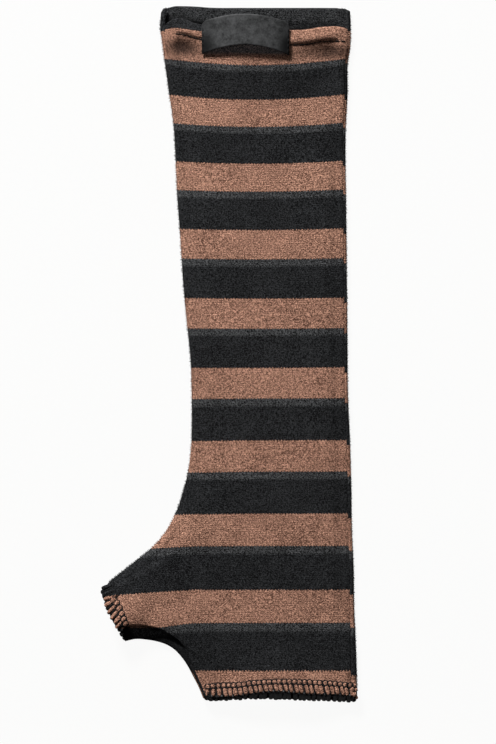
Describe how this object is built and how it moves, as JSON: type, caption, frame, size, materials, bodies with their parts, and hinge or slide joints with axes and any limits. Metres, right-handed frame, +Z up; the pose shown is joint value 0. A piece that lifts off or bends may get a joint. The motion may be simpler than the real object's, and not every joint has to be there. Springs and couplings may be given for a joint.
{
  "type": "knitted wrist warmer",
  "caption": "Long striped knit wrist warmer laid flat, with open arm, thumb and finger ends, seams round both sides and the thumb fork, and a blank label strip bowed over the arm end.",
  "frame": {"origin": "middle of the outline, on the surface that the back panel lies on", "axes": "+Y from the fingers to the arm end, +Z up out of the front panel, +X to the palm side's straight seam"},
  "size_m": [0.1465, 0.3984, 0.0193],
  "materials": {
    "knit": "brushed wool knit, brown and charcoal stripes",
    "label": "smooth charcoal satin strip",
    "thread": "black overlock thread"
  },
  "bodies": {
    "root": {"front_panel": "knit", "back_panel": "knit", "label": "label"}
  },
  "joints": []
}
